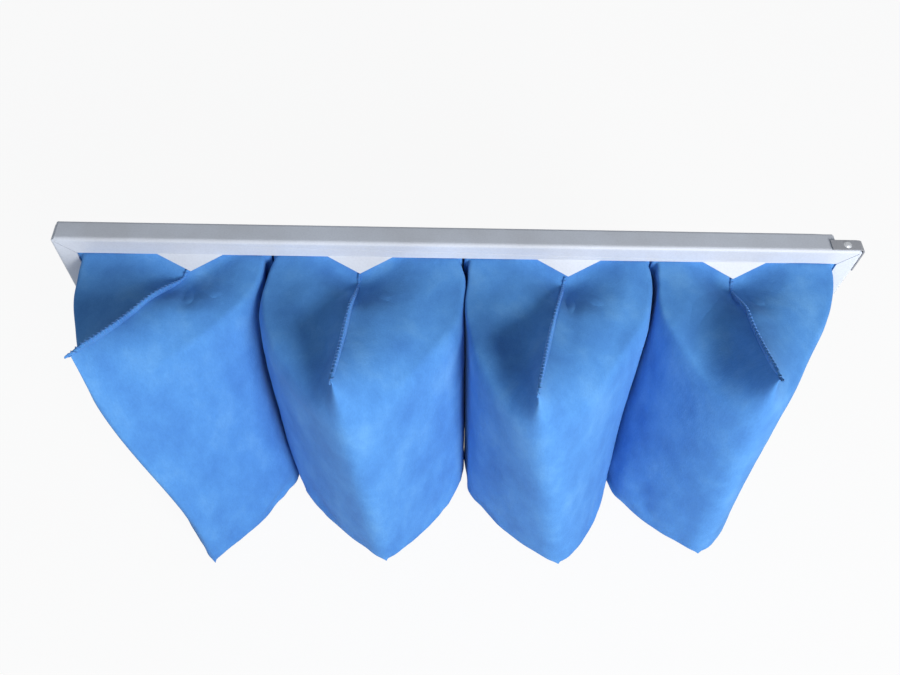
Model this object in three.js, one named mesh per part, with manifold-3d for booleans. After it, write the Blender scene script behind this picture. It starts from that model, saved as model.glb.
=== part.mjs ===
// Bag air filter: a folded sheet-steel header frame that holds four fabric pockets side by side.
// Millimetres, +Z up. X runs along the header, +Y is the inlet side and the pockets point to -Y.
// The origin is the centre of the header's underside.
import * as THREE from "three";
import { mergeVertices } from "three/addons/utils/BufferGeometryUtils.js";
import Module from "manifold-3d";

// Clearance between pieces that lie against each other.
const GAP = 0.3;

// Header frame: a channel with its web outside and its flanges turned inwards on both faces.
const HEADER_LENGTH = 592;
const HEADER_HEIGHT = 287;
const HEADER_DEPTH = 18;
const HEADER_SHEET = 1;
const FLANGE_WIDTH = 15;
const CORNER_RADIUS = 4;
const MITRE_SLIT = 0.5;
const MITRE_LAND = 3;

// The relief cut out of the top right corner, behind the joint plate.
const RELIEF_SIZE = 20;
const RELIEF_DEPTH = 7;

// Triangular tongues, bent out of the outlet flange over both side seams of each pocket.
const TONGUE_BASE = 50;
const TONGUE_LENGTH = 13;
const TONGUE_TILT = THREE.MathUtils.degToRad(45);

// Joint plate: an angle over the corner where the ends of the header's strip meet.
const PLATE_LEG = 24;
const PLATE_WIDTH = 9;
const PLATE_SHEET = 1;

// Mouth frames: channel rings, open to the outlet side, crimped over each pocket's mouth.
const CLAMP_SHEET = 0.8;
const CLAMP_DEPTH = 10;
const CLAMP_LAP = 6;

// Dividers: channels over the legs of neighbouring mouth frames.
const DIVIDER_SHEET = 0.8;
const DIVIDER_DEPTH = 7;

// Rivets: a domed head outside and a formed head inside.
const RIVET_RADIUS = 2;
const RIVET_HOLE_RADIUS = 2.3;
const RIVET_HEAD_RADIUS = 3.2;
const RIVET_HEAD_HEIGHT = 1.2;
const RIVET_INSET = 5.5;
const RIVET_SIDES = 12;

// Pockets: two fabric panels each, sewn down both side seams and along the end seam.
const FABRIC = 2.5;
const SEAM_THICKNESS = 6;
const MOUTH_INSET = 0.5;
const JOG_LENGTH = 2;
const HEAD_SAG = 8;
const TOUCH_GAP = 1.2;
const TOUCH_SOFTNESS = 12;
const FLOOR_GAP = 0.4;
const TONGUE_CLEARANCE = 4;
const TONGUE_MARGIN = 1;
const RECESS_SPREAD = 14;
const RECESS_REACH = 50;

// One row per pocket, from the left. The end seam runs from its head, high up, to its foot on the
// surface that the filter stands on. Each lean is sideways from the middle of the pocket's mouth, each
// reach is outwards from the header's outlet face, and the rise is above the header's top. Fullness is
// how far a panel swells, high up and low down. Touch is how far its neighbour has moved sideways at
// the floor, and bow how much further halfway up. The nose radius rounds the end seam's fold, and the
// end bow bends that seam sideways: to the left high up and to the right low down. The dent is the
// valley in the left panel beside the upper seam.
const POCKETS = [
  {
    tongueShift: 11, headLean: -41, headReach: 107, headRise: 16, footLean: -2, footReach: 139,
    leftHighFullness: 30, rightHighFullness: 32, leftFullness: 32, rightFullness: 66,
    leftTouch: 0, rightTouch: 1.5, leftBow: 0, rightBow: -22, noseRadius: 3, endBow: 6, dentDepth: 0,
  },
  {
    tongueShift: -6, headLean: -18, headReach: 121, headRise: 11, footLean: 12, footReach: 137,
    leftHighFullness: 70, rightHighFullness: 60, leftFullness: 68, rightFullness: 76,
    leftTouch: 1.5, rightTouch: 15, leftBow: -22, rightBow: 0, noseRadius: 6, endBow: 0, dentDepth: 8,
  },
  {
    tongueShift: 8, headLean: -27, headReach: 127, headRise: 7, footLean: 29, footReach: 140,
    leftHighFullness: 52, rightHighFullness: 58, leftFullness: 56, rightFullness: 70,
    leftTouch: 15, rightTouch: 13, leftBow: 0, rightBow: 6, noseRadius: 10, endBow: 0, dentDepth: 10,
  },
  {
    tongueShift: -8, headLean: -9, headReach: 116, headRise: 11, footLean: 20, footReach: 130,
    leftHighFullness: 30, rightHighFullness: 35, leftFullness: 54, rightFullness: 56,
    leftTouch: 13, rightTouch: 12, leftBow: 6, rightBow: 0, noseRadius: 10, endBow: 0, dentDepth: 9,
  },
];

// Shares that shape the lower part of a pocket: the panel's share that lies on the floor at the foot,
// where its fullness begins and finishes growing, where it changes from the high form to the low one,
// how soon it comes down to the floor outwards and upwards, and how late it leaves the floor again.
const TOE_SHARE = 0.04;
const FULL_FROM = 0.5;
const FULL_TO = 0.95;
const LOW_FROM = 0.35;
const LOW_TO = 0.8;
const FLOOR_BY = 0.45;
const FLOOR_RISE = 0.45;
const TOE_LIFT = 8;

// The share of the reach from which a pocket's end rounds, and the row that rounds it, from the end.
const NOSE_FROM = 0.45;
const NOSE_ROW = 4;

// The dent: how far left of the upper seam's middle it lies, its share of the reach, its radius, the
// panel's share over which it deepens from the seam, and the shares between which it ends lower down.
const DENT_ASIDE = 18;
const DENT_OUT = 0.6;
const DENT_RADIUS = 34;
const DENT_EDGE = 0.04;
const DENT_FROM = 0.2;
const DENT_TO = 0.45;

// How finely a panel is divided: across half its mouth's width, down its height, and outwards.
const WIDTH_STEPS = 5;
const HEIGHT_STEPS = 9;
const REACH_STEPS = 10;
const ARC_STEPS = 5;

// Colours and finishes.
const PALE_STEEL = { color: 0xdfe6f2, roughness: 0.38, metalness: 0.55 };
const ZINC = { color: 0xb4b8bf, roughness: 0.42, metalness: 0.85 };
const DARK_STEEL = { color: 0x6d7178, roughness: 0.5, metalness: 0.7 };
const BLUE_FABRIC = { color: 0x4a86d8, roughness: 0.9, metalness: 0 };

// Places that follow from the sizes above.
const OUTLET = -HEADER_DEPTH / 2;
const INLET = HEADER_DEPTH / 2;
const HALF_LENGTH = HEADER_LENGTH / 2;
const HALF_OPENING = HALF_LENGTH - FLANGE_WIDTH;
const OPENING_FOOT = FLANGE_WIDTH;
const OPENING_TOP = HEADER_HEIGHT - FLANGE_WIDTH;
const POCKET_PITCH = (2 * HALF_OPENING) / POCKETS.length;
const DIVIDER_BACK = INLET - HEADER_SHEET - GAP;
const CLAMP_BACK = DIVIDER_BACK - DIVIDER_SHEET - GAP;
const CLAMP_WALL = 2 * CLAMP_SHEET + 2 * GAP + FABRIC;

const wasm = await Module();
wasm.setup();

// A closed geometry as a solid that can be joined and cut.
function solidOf(geometry) {
  const plain = geometry.clone();
  plain.deleteAttribute("normal");
  plain.deleteAttribute("uv");
  const merged = mergeVertices(plain, 1e-4);
  return new wasm.Manifold(
    new wasm.Mesh({
      numProp: 3,
      vertProperties: new Float32Array(merged.attributes.position.array),
      triVerts: new Uint32Array(merged.index.array),
    }),
  );
}

// A solid as a geometry with flat faces.
function geometryOf(solid) {
  const mesh = solid.getMesh();
  const geometry = new THREE.BufferGeometry();
  geometry.setAttribute("position", new THREE.BufferAttribute(mesh.vertProperties, 3));
  geometry.setIndex(new THREE.BufferAttribute(mesh.triVerts, 1));
  const faceted = geometry.toNonIndexed();
  faceted.computeVertexNormals();
  return faceted;
}

function namedMesh(name, geometry, finish) {
  const mesh = new THREE.Mesh(geometry, new THREE.MeshStandardMaterial(finish));
  mesh.name = name;
  return mesh;
}

// A box between two corners.
function block(low, high) {
  const geometry = new THREE.BoxGeometry(...high.map((value, axis) => value - low[axis]));
  geometry.translate(...high.map((value, axis) => (value + low[axis]) / 2));
  return solidOf(geometry);
}

// A block whose outline in X and Z is the header's, drawn in by inset, with rounded corners.
function headerSlab(inset, radius, front, back) {
  const side = HALF_LENGTH - inset;
  const foot = inset;
  const top = HEADER_HEIGHT - inset;
  const shape = new THREE.Shape();
  shape.absarc(side - radius, foot + radius, radius, -Math.PI / 2, 0, false);
  shape.absarc(side - radius, top - radius, radius, 0, Math.PI / 2, false);
  shape.absarc(radius - side, top - radius, radius, Math.PI / 2, Math.PI, false);
  shape.absarc(radius - side, foot + radius, radius, Math.PI, Math.PI * 1.5, false);
  const geometry = new THREE.ExtrudeGeometry(shape, {
    depth: back - front,
    bevelEnabled: false,
    curveSegments: ARC_STEPS,
  });
  geometry.rotateX(Math.PI / 2);
  geometry.translate(0, back, 0);
  return solidOf(geometry);
}

// The middle of a pocket's mouth, along the header.
function mouthCentre(index) {
  return (index - (POCKETS.length - 1) / 2) * POCKET_PITCH;
}

// The line between a pocket and the next one.
function dividerPlace(index) {
  return mouthCentre(index) + POCKET_PITCH / 2;
}

// A round hole for a rivet, along Y, X or Z through a point.
function rivetHole(point, axis) {
  const geometry = new THREE.CylinderGeometry(
    RIVET_HOLE_RADIUS,
    RIVET_HOLE_RADIUS,
    HEADER_DEPTH / 2,
    RIVET_SIDES,
  );
  if (axis === "z") geometry.rotateX(Math.PI / 2);
  if (axis === "x") geometry.rotateZ(-Math.PI / 2);
  geometry.translate(...point);
  return solidOf(geometry);
}

// Where the dividers' ends are riveted to the inlet flange.
function dividerRivets() {
  const heights = [RIVET_INSET, HEADER_HEIGHT - RIVET_INSET];
  return POCKETS.slice(1).flatMap((_, index) =>
    heights.map((height) => [dividerPlace(index), INLET, height]),
  );
}

// Where the joint plate is riveted: on the top rail and on the right rail.
function plateRivets() {
  const middle = OUTLET + HEADER_SHEET + PLATE_WIDTH / 2;
  return {
    top: [HALF_LENGTH - PLATE_LEG / 2, middle, HEADER_HEIGHT + PLATE_SHEET],
    side: [HALF_LENGTH + PLATE_SHEET, middle, HEADER_HEIGHT - PLATE_LEG / 2],
  };
}

// A tongue that leans out from the free edge of the outlet flange, at the top or the bottom rail.
function tongue(place, upper) {
  const away = upper ? -1 : 1;
  const half = TONGUE_BASE / 2;
  const shape = new THREE.Shape();
  shape.moveTo(-half, 0);
  shape.lineTo(-half, -away * HEADER_SHEET);
  shape.lineTo(half, -away * HEADER_SHEET);
  shape.lineTo(half, 0);
  shape.lineTo(0, away * TONGUE_LENGTH);
  const geometry = new THREE.ExtrudeGeometry(shape, { depth: HEADER_SHEET, bevelEnabled: false });
  geometry.rotateX(Math.PI / 2);
  geometry.rotateX(away * TONGUE_TILT);
  geometry.translate(place, OUTLET + HEADER_SHEET, upper ? OPENING_TOP : OPENING_FOOT);
  return solidOf(geometry);
}

// The slit between two mitred flanges, out from a corner of the opening.
function mitreSlit(right, upper) {
  const reach = (FLANGE_WIDTH - MITRE_LAND) * Math.SQRT2;
  const geometry = new THREE.BoxGeometry(reach, HEADER_DEPTH + 2, MITRE_SLIT);
  geometry.translate(reach / 2, 0, 0);
  geometry.rotateY(right === upper ? -Math.PI / 4 : Math.PI / 4);
  if (!right) geometry.rotateY(Math.PI);
  geometry.translate(right ? HALF_OPENING : -HALF_OPENING, 0, upper ? OPENING_TOP : OPENING_FOOT);
  return solidOf(geometry);
}

function headerFrame() {
  const cavity = headerSlab(
    HEADER_SHEET,
    CORNER_RADIUS - HEADER_SHEET,
    OUTLET + HEADER_SHEET,
    INLET - HEADER_SHEET,
  );
  const opening = block(
    [-HALF_OPENING, OUTLET - 1, OPENING_FOOT],
    [HALF_OPENING, INLET + 1, OPENING_TOP],
  );
  const relief = block(
    [HALF_LENGTH - RELIEF_SIZE, INLET - RELIEF_DEPTH, HEADER_HEIGHT - RELIEF_SIZE],
    [HALF_LENGTH + 1, INLET + 1, HEADER_HEIGHT + 1],
  );
  let frame = headerSlab(0, CORNER_RADIUS, OUTLET, INLET).subtract(cavity).subtract(opening);
  frame = frame.subtract(relief);
  for (const right of [false, true]) {
    for (const upper of [false, true]) frame = frame.subtract(mitreSlit(right, upper));
  }
  POCKETS.forEach((pocket, index) => {
    frame = frame.add(tongue(mouthCentre(index) + pocket.tongueShift, true));
    frame = frame.add(tongue(mouthCentre(index), false));
  });
  for (const point of dividerRivets()) frame = frame.subtract(rivetHole(point, "y"));
  const { top, side } = plateRivets();
  frame = frame.subtract(rivetHole(top, "z")).subtract(rivetHole(side, "x"));
  return namedMesh("header_frame", geometryOf(frame), PALE_STEEL);
}

function jointPlate() {
  const front = OUTLET + HEADER_SHEET;
  const back = front + PLATE_WIDTH;
  const corner = block(
    [HALF_LENGTH - PLATE_LEG, front, HEADER_HEIGHT - PLATE_LEG],
    [HALF_LENGTH + PLATE_SHEET, back, HEADER_HEIGHT + PLATE_SHEET],
  );
  const outside = headerSlab(-PLATE_SHEET, CORNER_RADIUS, front, back);
  const inside = headerSlab(0, CORNER_RADIUS - PLATE_SHEET, front - 1, back + 1);
  const { top, side } = plateRivets();
  const plate = corner
    .intersect(outside)
    .subtract(inside)
    .subtract(rivetHole(top, "z"))
    .subtract(rivetHole(side, "x"));
  return namedMesh("joint_plate", geometryOf(plate), DARK_STEEL);
}

// A rivet whose head sits at its origin and points along +Y, through sheets as thick as the grip.
function rivet(name, grip) {
  const tail = -grip - GAP;
  const dome = 0.6;
  const profile = [
    [0, tail - RIVET_HEAD_HEIGHT],
    [RIVET_HEAD_RADIUS, tail - RIVET_HEAD_HEIGHT],
    [RIVET_HEAD_RADIUS, tail],
    [RIVET_RADIUS, tail],
    [RIVET_RADIUS, 0],
    [RIVET_HEAD_RADIUS, 0],
    [RIVET_HEAD_RADIUS * dome, RIVET_HEAD_HEIGHT],
    [0, RIVET_HEAD_HEIGHT],
  ].map(([radius, height]) => new THREE.Vector2(radius, height));
  return namedMesh(name, new THREE.LatheGeometry(profile, RIVET_SIDES), ZINC);
}

function rivets() {
  const group = new THREE.Group();
  dividerRivets().forEach((point, index) => {
    const one = rivet(`divider_rivet_${index + 1}`, HEADER_SHEET + GAP + DIVIDER_SHEET);
    one.position.set(...point);
    group.add(one);
  });
  const { top, side } = plateRivets();
  const above = rivet("plate_rivet_top", PLATE_SHEET + HEADER_SHEET);
  above.rotation.x = Math.PI / 2;
  above.position.set(...top);
  const beside = rivet("plate_rivet_side", PLATE_SHEET + HEADER_SHEET);
  beside.rotation.z = -Math.PI / 2;
  beside.position.set(...side);
  return group.add(above, beside);
}

// The outline of a pocket's mouth frame, from the middle of that mouth. An outer one laps behind the
// header's side flange.
function clampOutline(index) {
  const half = POCKET_PITCH / 2;
  const last = POCKETS.length - 1;
  return {
    left: index === 0 ? -half - CLAMP_LAP : -half + GAP / 2,
    right: index === last ? half + CLAMP_LAP : half - GAP / 2,
    foot: OPENING_FOOT - CLAMP_LAP,
    top: OPENING_TOP + CLAMP_LAP,
  };
}

function insetOutline(outline, inset) {
  return {
    left: outline.left + inset,
    right: outline.right - inset,
    foot: outline.foot + inset,
    top: outline.top - inset,
  };
}

function outlineBlock(outline, front, back) {
  return block([outline.left, front, outline.foot], [outline.right, back, outline.top]);
}

function mouthFrame(index) {
  const outline = clampOutline(index);
  const front = CLAMP_BACK - CLAMP_DEPTH;
  const groove = outlineBlock(
    insetOutline(outline, CLAMP_SHEET),
    front - 1,
    CLAMP_BACK - CLAMP_SHEET,
  );
  const innerWall = outlineBlock(
    insetOutline(outline, CLAMP_WALL - CLAMP_SHEET),
    front - 2,
    CLAMP_BACK,
  );
  const opening = outlineBlock(insetOutline(outline, CLAMP_WALL), front - 2, CLAMP_BACK + 1);
  const ring = outlineBlock(outline, front, CLAMP_BACK)
    .subtract(groove.subtract(innerWall))
    .subtract(opening);
  const mesh = namedMesh(`mouth_frame_${index + 1}`, geometryOf(ring), ZINC);
  mesh.position.x = mouthCentre(index);
  return mesh;
}

function divider(index) {
  const groove = CLAMP_WALL + GAP / 2 + GAP;
  const side = groove + DIVIDER_SHEET;
  const front = DIVIDER_BACK - DIVIDER_DEPTH;
  const legEnd = FLANGE_WIDTH - CLAMP_LAP + CLAMP_WALL + GAP;
  const tabEnd = HEADER_SHEET + GAP;
  const web = block(
    [-side, DIVIDER_BACK - DIVIDER_SHEET, tabEnd],
    [side, DIVIDER_BACK, HEADER_HEIGHT - tabEnd],
  );
  const legs = block([-side, front, legEnd], [side, DIVIDER_BACK, HEADER_HEIGHT - legEnd]);
  const hollow = block(
    [-groove, front - 1, legEnd - 1],
    [groove, DIVIDER_BACK - DIVIDER_SHEET, HEADER_HEIGHT - legEnd + 1],
  );
  let channel = legs.subtract(hollow).add(web);
  for (const height of [RIVET_INSET, HEADER_HEIGHT - RIVET_INSET]) {
    channel = channel.subtract(rivetHole([0, INLET, height], "y"));
  }
  const mesh = namedMesh(`divider_${index + 1}`, geometryOf(channel), ZINC);
  mesh.position.x = dividerPlace(index);
  return mesh;
}

// Places along a line: its start, two marks, then even steps to its end.
function stations(first, second, length, steps) {
  const places = [0, first, second];
  const rest = steps - 2;
  for (let step = 1; step <= rest; step++) places.push(second + ((length - second) * step) / rest);
  return places;
}

// How far a tongue stands out from the outlet face.
function tongueReach() {
  return TONGUE_LENGTH * Math.cos(TONGUE_TILT);
}

// The stations round one panel's edge, from the upper side seam over the corner and down to the lower
// side seam: each gives a place on any outline and a share of the panel's flat width.
function edgeStations(side, upperSeam, lowerSeam) {
  const mark = TONGUE_BASE / 2 + TONGUE_MARGIN;
  const half = POCKET_PITCH / 2;
  const height = OPENING_TOP - OPENING_FOOT;
  const flat = 2 * half + height;
  const cornerOf = (outline) => (side < 0 ? outline.left : outline.right);
  const shares = (seam) => {
    const length = Math.abs(side * half - seam);
    return stations(mark / 2, mark, length, WIDTH_STEPS).map((place) => place / length);
  };
  const upper = shares(upperSeam).map((share) => ({
    place: (outline) => [upperSeam + (cornerOf(outline) - upperSeam) * share, outline.top],
    share: (share * half) / flat,
  }));
  const lower = shares(lowerSeam).map((share) => ({
    place: (outline) => [lowerSeam + (cornerOf(outline) - lowerSeam) * share, outline.foot],
    share: 1 - (share * half) / flat,
  }));
  const down = [];
  for (let step = 1; step < HEIGHT_STEPS; step++) {
    const fall = step / HEIGHT_STEPS;
    down.push({
      place: (outline) => [cornerOf(outline), outline.top + (outline.foot - outline.top) * fall],
      share: (half + height * fall) / flat,
    });
  }
  return [...upper, ...down, ...lower.reverse()];
}

// How far the fabric is pushed in under a tongue, at a distance from the tongue's middle and outwards.
function tongueRecess(aside, out) {
  const { smoothstep } = THREE.MathUtils;
  const edge = TONGUE_BASE / 2 + TONGUE_MARGIN;
  const end = tongueReach() + TONGUE_CLEARANCE;
  const slope = Math.min(out, end * Math.max(0, 1 - aside / edge)) * Math.tan(TONGUE_TILT);
  const clear = TONGUE_CLEARANCE * (1 - smoothstep(aside, edge, edge + RECESS_SPREAD));
  return (slope + clear) * (1 - smoothstep(out, end, RECESS_REACH));
}

// The hem's rows, from the mouth frame's groove to the back of the outlet flange: points on the outer
// face, each with the point opposite it on the inner face.
function hemRows(index, mouth, edge) {
  const groove = insetOutline(clampOutline(index), CLAMP_SHEET + GAP);
  const behindFlange = OUTLET + HEADER_SHEET + GAP;
  const bend = Math.atan2(groove.top - mouth.top, JOG_LENGTH);
  const mitre = FABRIC * Math.tan(bend / 2);
  const rows = [
    { outline: groove, depth: CLAMP_BACK - CLAMP_SHEET - GAP, shift: 0 },
    { outline: groove, depth: behindFlange + JOG_LENGTH, shift: mitre },
    { outline: mouth, depth: behindFlange, shift: mitre },
  ];
  return rows.map(({ outline, depth, shift }) => {
    const inner = insetOutline(outline, FABRIC);
    return edge.map((station) => {
      const [x, z] = station.place(outline);
      const [innerX, innerZ] = station.place(inner);
      return {
        outer: new THREE.Vector3(x, depth, z),
        inner: new THREE.Vector3(innerX, depth + shift, innerZ),
      };
    });
  });
}

// The smaller of two numbers, with the corner between them rounded over a softness.
function softMin(first, second, softness) {
  const meet = Math.max(softness - Math.abs(first - second), 0) / softness;
  return Math.min(first, second) - (meet * meet * softness) / 4;
}

// How far a panel may go sideways at a height before it meets the next pocket.
function touchLimit(pocket, side, height) {
  const fall = THREE.MathUtils.clamp(1 - height / HEADER_HEIGHT, 0, 1);
  const touch = side < 0 ? -pocket.leftTouch : pocket.rightTouch;
  const bow = side < 0 ? -pocket.leftBow : pocket.rightBow;
  return POCKET_PITCH / 2 + touch * fall + 4 * bow * fall * (1 - fall) - TOUCH_GAP;
}

// A distance sideways from the end seam, made fuller near the seam so that the fold there is round.
function roundedNose(aside, radius) {
  return aside > 0 ? Math.sqrt(aside * aside + 2 * aside * radius) : aside;
}

// How far the left panel is dented at a point, beside the upper seam.
function dentAt(pocket, station, point) {
  const { smoothstep } = THREE.MathUtils;
  const aside = point.x - (pocket.tongueShift + pocket.headLean) / 2 + DENT_ASIDE;
  const out = OUTLET - point.y - DENT_OUT * pocket.headReach;
  const near = 1 - smoothstep(Math.hypot(aside, out) / DENT_RADIUS, 0, 1);
  const edge = Math.min(1, station.share / DENT_EDGE);
  return pocket.dentDepth * near * edge * (1 - smoothstep(station.share, DENT_FROM, DENT_TO));
}

// A point of a panel's outer face, from its station at the mouth and its share of the reach. High up
// the panel swells a little. Low down it is full, meets its neighbour, and lies on the floor under the foot.
function panelPoint(pocket, side, station, mouth, share) {
  const { smoothstep } = THREE.MathUtils;
  const head = new THREE.Vector3(
    pocket.headLean,
    OUTLET - pocket.headReach,
    HEADER_HEIGHT + pocket.headRise,
  );
  const foot = new THREE.Vector3(pocket.footLean, OUTLET - pocket.footReach, 0);
  const cornerShare = POCKET_PITCH / 2 / (POCKET_PITCH + OPENING_TOP - OPENING_FOOT);
  const floorShare = cornerShare * (1 - share) + TOE_SHARE * share;
  const floorStart = 1 - floorShare;
  const floorStartHeight = mouth.foot * (1 - share) + head.z * floorShare * share;
  const [x, z] = station.place(mouth);
  const end = head.lerp(foot, station.share);
  end.x -= pocket.endBow * Math.sin(2 * Math.PI * station.share);
  const point = new THREE.Vector3(x, OUTLET, z).lerp(end, share);
  const swell = Math.sin(Math.PI * share);
  const roundness = Math.min(1, 1.6 * Math.sin(Math.PI * station.share));
  const high = side < 0 ? pocket.leftHighFullness : pocket.rightHighFullness;
  const grown = (side < 0 ? pocket.leftFullness : pocket.rightFullness) - high;
  const fullness = high + grown * smoothstep(station.share, FULL_FROM, FULL_TO);
  const full = fullness * (1 - share) * (1 - (1 - share) ** 3);
  const nose = pocket.noseRadius * smoothstep(share, NOSE_FROM, 1);
  const highAside = side * (point.x - end.x) + full * roundness;
  const highX = end.x + side * roundedNose(highAside, nose * roundness);
  const spread = Math.min(1, (1 - station.share) / floorShare);
  const lowX = end.x * share + side * roundedNose(mouth.right * (1 - share) + full, nose) * spread;
  const low = smoothstep(station.share, LOW_FROM, LOW_TO);
  const wanted = side * (highX * (1 - low) + lowX * low);
  point.x = side * softMin(wanted, touchLimit(pocket, side, point.z), TOUCH_SOFTNESS);
  const down = smoothstep(share, 0, FLOOR_BY) * (1 - share ** TOE_LIFT);
  if (station.share > floorStart) point.z *= 1 - down;
  else {
    const near = Math.max(0, 1 - (floorStart - station.share) / FLOOR_RISE);
    point.z -= floorStartHeight * down * near;
  }
  point.z -= HEAD_SAG * swell * (1 - station.share) ** 4;
  if (side < 0) point.z -= dentAt(pocket, station, point);
  const out = OUTLET - point.y;
  if (z === mouth.top) point.z -= tongueRecess(Math.abs(point.x - pocket.tongueShift), out);
  if (z === mouth.foot) point.z += tongueRecess(Math.abs(point.x), out) * (1 - down);
  point.z = Math.max(point.z, FLOOR_GAP * down);
  return point;
}

// One fabric panel as rows of points, from the mouth frame's groove to the end seam.
function panelRows(index, side) {
  const pocket = POCKETS[index];
  const half = POCKET_PITCH / 2;
  const mouth = insetOutline(
    { left: -half, right: half, foot: OPENING_FOOT, top: OPENING_TOP },
    MOUTH_INSET,
  );
  const edge = edgeStations(side, pocket.tongueShift, 0);
  const reach = Math.max(pocket.headReach, pocket.footReach);
  const mark = tongueReach() + TONGUE_MARGIN;
  const places = stations(mark, 2 * mark, reach, REACH_STEPS);
  places.splice(-1, 0, reach - NOSE_ROW);
  const rows = places.map((place) =>
    edge.map((station) => ({ outer: panelPoint(pocket, side, station, mouth, place / reach) })),
  );
  return [...hemRows(index, mouth, edge), ...rows];
}

// The fabric's inner face: each point moves in by the fabric's thickness, mitred at the creases, and
// by less where the two panels lie close together.
function innerPoints(points, opposite, triangles) {
  const normals = points.map(() => new THREE.Vector3());
  const around = points.map(() => []);
  for (const corners of triangles) {
    const [a, b, c] = corners.map((corner) => points[corner].outer);
    const face = new THREE.Vector3()
      .subVectors(b, a)
      .cross(new THREE.Vector3().subVectors(c, a))
      .normalize();
    corners.forEach((corner, turn) => {
      const here = points[corner].outer;
      const next = points[corners[(turn + 1) % 3]].outer.clone().sub(here);
      const last = points[corners[(turn + 2) % 3]].outer.clone().sub(here);
      normals[corner].addScaledVector(face, next.angleTo(last));
      around[corner].push(face);
    });
  }
  return points.map(({ outer, inner }, corner) => {
    if (inner) return inner;
    const normal = normals[corner].normalize();
    const cosines = around[corner].map((face) => normal.dot(face));
    const mean = cosines.reduce((sum, value) => sum + value, 0) / cosines.length;
    const depth = Math.min(FABRIC / Math.max(mean, 0.1), SEAM_THICKNESS);
    const move = normal.clone().multiplyScalar(-depth);
    const across = points[opposite[corner]].outer.clone().sub(outer).divideScalar(2);
    const room = 0.75 * across.length();
    const taken = room > 0 ? move.dot(across.normalize()) : 0;
    if (taken > room) move.multiplyScalar(room / taken);
    return move.add(outer);
  });
}

// A pocket as one thin closed body: an outer face, an inner face and the hem that joins them.
function pocketSolid(index) {
  const panels = [panelRows(index, -1), panelRows(index, 1)];
  const lastRow = panels[0].length - 1;
  const lastStation = panels[0][0].length - 1;
  const points = [];
  const numbers = new Map();
  const numberOf = (panel, row, station) => {
    const shared = station === 0 || station === lastStation || row === lastRow;
    const key = `${shared ? 0 : panel} ${row} ${station}`;
    if (!numbers.has(key)) {
      numbers.set(key, points.length);
      points.push(panels[panel][row][station]);
    }
    return numbers.get(key);
  };
  const opposite = [];
  const triangles = [];
  const hem = [];
  for (const panel of [0, 1]) {
    const face = (a, b, c) => triangles.push(panel === 0 ? [a, b, c] : [a, c, b]);
    for (let row = 0; row <= lastRow; row++) {
      for (let station = 0; station <= lastStation; station++) {
        const here = numberOf(panel, row, station);
        opposite[here] = numberOf(1 - panel, row, station);
        if (row === lastRow || station === lastStation) continue;
        const along = numberOf(panel, row, station + 1);
        const out = numberOf(panel, row + 1, station);
        const across = numberOf(panel, row + 1, station + 1);
        if (station < lastStation / 2) {
          face(here, along, out);
          face(along, across, out);
        } else {
          face(here, along, across);
          face(here, across, out);
        }
        if (row === 0) hem.push(panel === 0 ? [here, along] : [along, here]);
      }
    }
  }
  const inner = innerPoints(points, opposite, triangles);
  const outer = points.map((point) => point.outer);
  const count = points.length;
  const faces = [
    ...triangles,
    ...triangles.map(([a, b, c]) => [c + count, b + count, a + count]),
    ...hem.flatMap(([a, b]) => [
      [b, a, a + count],
      [b, a + count, b + count],
    ]),
  ];
  const geometry = new THREE.BufferGeometry();
  const places = [...outer, ...inner].flatMap((point) => point.toArray());
  geometry.setAttribute("position", new THREE.Float32BufferAttribute(places, 3));
  geometry.setIndex(faces.flat());
  const faceted = geometry.toNonIndexed();
  faceted.computeVertexNormals();
  return faceted;
}

function pocket(index) {
  const mesh = namedMesh(`pocket_${index + 1}`, pocketSolid(index), BLUE_FABRIC);
  mesh.position.x = mouthCentre(index);
  return mesh;
}

const filter = new THREE.Group();
filter.add(headerFrame(), jointPlate(), rivets());
POCKETS.forEach((_, index) => filter.add(mouthFrame(index), pocket(index)));
POCKETS.slice(1).forEach((_, index) => filter.add(divider(index)));

export default filter;
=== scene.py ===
import math
import random

import bmesh
import bpy
import numpy as np
from mathutils import Matrix, Vector


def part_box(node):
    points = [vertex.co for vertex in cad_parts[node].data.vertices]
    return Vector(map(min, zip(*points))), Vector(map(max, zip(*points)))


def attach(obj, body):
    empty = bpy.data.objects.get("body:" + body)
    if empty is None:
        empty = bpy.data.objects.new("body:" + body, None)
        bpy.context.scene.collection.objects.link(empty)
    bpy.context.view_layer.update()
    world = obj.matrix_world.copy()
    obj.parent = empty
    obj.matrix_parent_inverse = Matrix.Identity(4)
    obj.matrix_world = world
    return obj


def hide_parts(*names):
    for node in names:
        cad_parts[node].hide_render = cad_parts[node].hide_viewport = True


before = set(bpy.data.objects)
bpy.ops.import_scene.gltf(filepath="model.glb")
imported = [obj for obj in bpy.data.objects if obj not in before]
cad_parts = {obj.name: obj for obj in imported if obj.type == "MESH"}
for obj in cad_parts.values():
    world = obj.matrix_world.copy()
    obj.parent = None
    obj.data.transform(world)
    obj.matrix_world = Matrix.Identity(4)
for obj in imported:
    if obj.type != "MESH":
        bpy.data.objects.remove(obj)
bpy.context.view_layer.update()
random.seed(5)

# Lengths are in metres. The header's box comes from the frame. Its sheet, flange and tongues, and the
# sheet of the mouth frames, are as in the part's source.
HEADER_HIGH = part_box("header_frame")[1]
HEADER_HEIGHT = HEADER_HIGH[2]
INLET = HEADER_HIGH[1]
OUTLET = -INLET
SHEET = 0.001
GAP = 0.0003
FLANGE = 0.015
OPENING_TOP = HEADER_HEIGHT - FLANGE
OPENING_FOOT = FLANGE
HALF_OPENING = HEADER_HIGH[0] - FLANGE
CLAMP_SHEET = 0.0008
TONGUE_BASE = 0.050
TONGUE_REACH = 0.0092

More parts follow.
